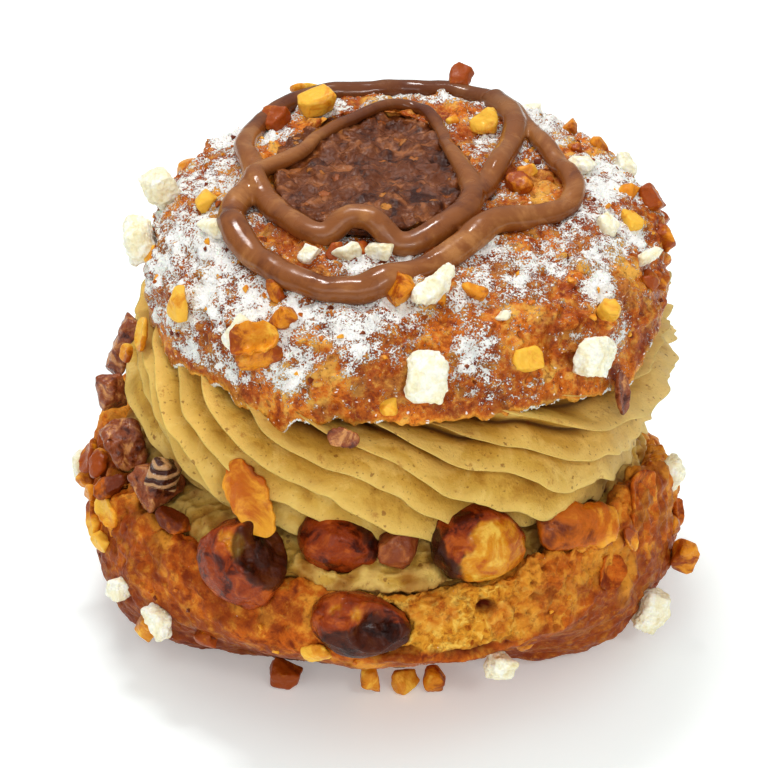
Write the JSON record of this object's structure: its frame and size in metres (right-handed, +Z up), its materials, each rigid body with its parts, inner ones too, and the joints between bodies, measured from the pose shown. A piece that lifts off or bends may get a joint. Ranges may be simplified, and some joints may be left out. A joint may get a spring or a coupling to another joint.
{
  "type": "paris brest pastry",
  "caption": "Split choux bun filled with a twisted ring of praline cream, topped with piped chocolate, praline, nuts and pearl sugar.",
  "frame": {"origin": "middle of the flat face under the choux base, where the pastry rests", "axes": "+Z up through the pastry, -Y towards the front with the hazelnuts, +X to its right"},
  "size_m": [0.0979, 0.0952, 0.0754],
  "materials": {
    "choux_crust": "baked choux pastry, orange to golden brown, torn and porous at the front, satin",
    "glazed_crust": "baked choux crust with a caramel glaze and a dusting of icing sugar",
    "praline_cream": "soft praline cream, beige yellow with fine brown specks",
    "praline": "glistening dark hazelnut praline with bits of nut",
    "milk_chocolate": "soft glossy milk chocolate",
    "hazelnut": "caramelised hazelnut, dark to amber, glossy",
    "dark_chocolate": "broken dark chocolate with a little bloom",
    "roasted_nut": "roasted and candied almond, amber",
    "pearl_sugar": "rough off-white lump sugar"
  },
  "bodies": {
    "root": {"choux_base": "choux_crust", "choux_lid": "glazed_crust", "cream_bed": "praline_cream", "praline_cream": "praline_cream", "praline_centre": "praline", "chocolate_piping": "milk_chocolate", "hazelnut_right": "hazelnut", "hazelnut_left": "hazelnut", "hazelnut_middle": "hazelnut", "hazelnut_front": "hazelnut", "praline_piece": "dark_chocolate", "almond_shard": "roasted_nut", "almond_slice": "roasted_nut", "almond_wedge": "roasted_nut", "chocolate_strip": "dark_chocolate", "chocolate_lump": "dark_chocolate", "chocolate_chunk_a": "dark_chocolate", "chocolate_chunk_b": "dark_chocolate", "chocolate_chunk_c": "dark_chocolate", "nougat_chip": "roasted_nut", "sugar_lid_front": "pearl_sugar", "sugar_lid_right": "pearl_sugar", "sugar_lid_long": "pearl_sugar", "sugar_lid_low_left": "pearl_sugar", "sugar_lid_high_left": "pearl_sugar", "sugar_base_right": "pearl_sugar", "sugar_base_front": "pearl_sugar", "sugar_base_left": "pearl_sugar", "sugar_side_left": "pearl_sugar", "sugar_side_right": "pearl_sugar", "nut_side_right": "roasted_nut", "nut_lid_top": "roasted_nut", "nut_lid_left": "roasted_nut"}
  },
  "joints": []
}
